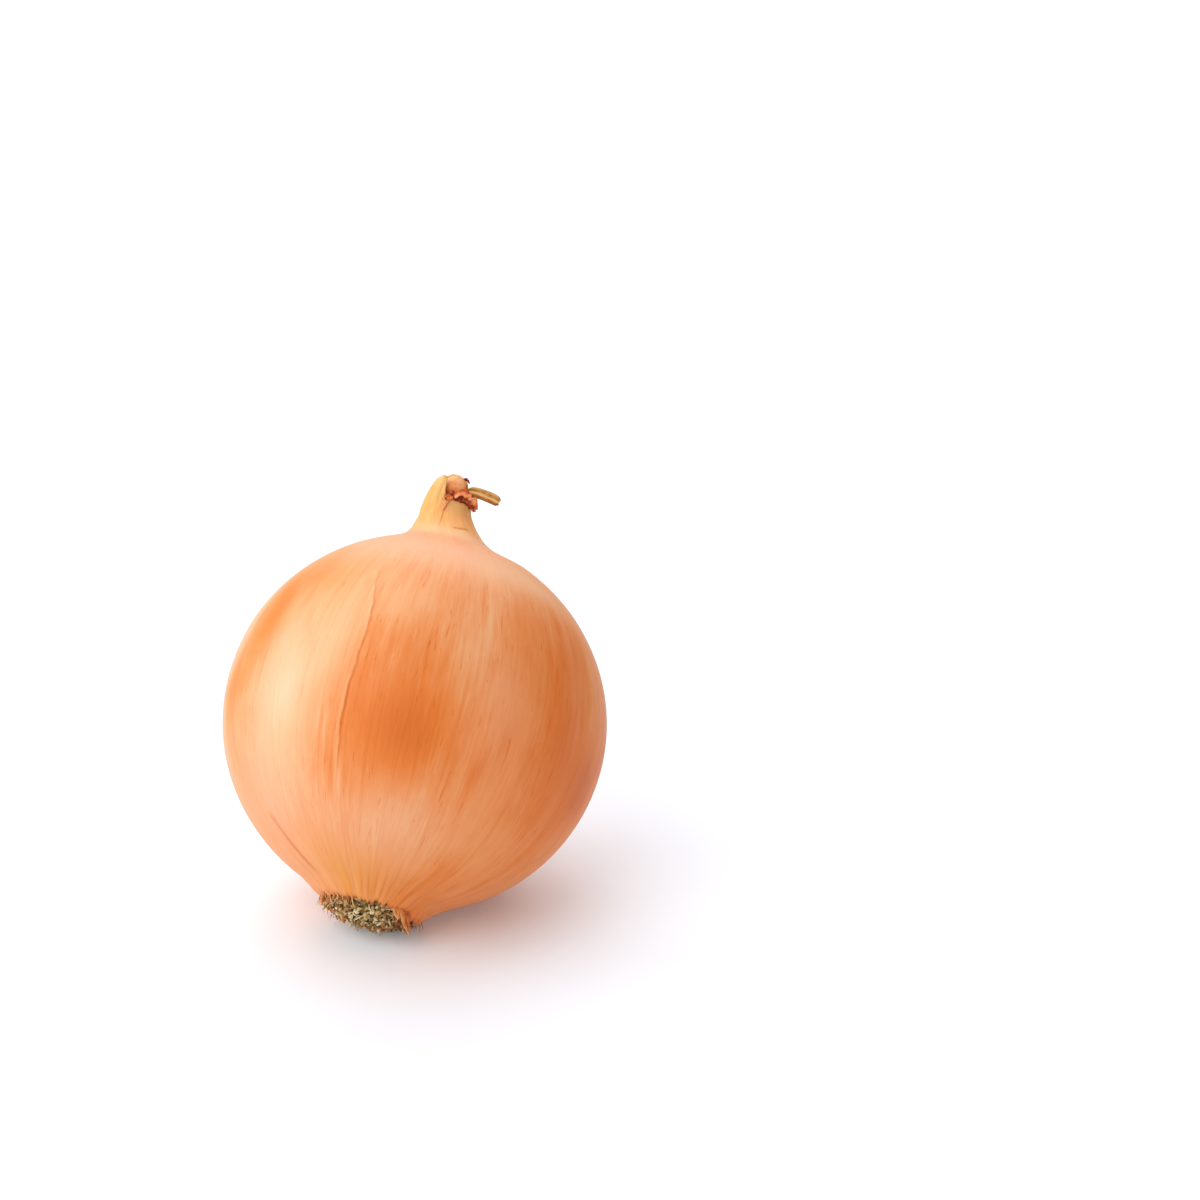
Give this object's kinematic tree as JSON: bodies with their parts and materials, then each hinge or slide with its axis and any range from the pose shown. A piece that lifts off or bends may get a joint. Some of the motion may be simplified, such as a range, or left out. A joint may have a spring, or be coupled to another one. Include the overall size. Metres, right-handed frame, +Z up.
{
  "type": "onion",
  "caption": "Whole brown-skinned onion at rest on its belly: papery globe, withered open neck with a dry leaf stub, and a crown of cut roots.",
  "frame": {"origin": "on the table, at the middle of the small flat spot that the onion rests on, under the centre of the globe", "axes": "+Z up; +X to the right and -Y towards the viewer when the root crown shows low at the front left and the neck leans back and to the right"},
  "size_m": [0.0751, 0.0747, 0.0789],
  "materials": {
    "onion_skin": "smooth dry papery onion skin, satin sheen, fine meridional veins",
    "dry_roots": "matt dry cut roots and corky base, cream to dark brown",
    "neck_scale": "crumpled dry inner scales, red-brown, matt",
    "dry_leaf": "withered leaf, tan to olive, matt and fibrous"
  },
  "bodies": {
    "root": {"bulb": "onion_skin", "root_crown": "dry_roots", "neck_scales": "neck_scale", "dry_leaf": "dry_leaf"}
  },
  "joints": []
}
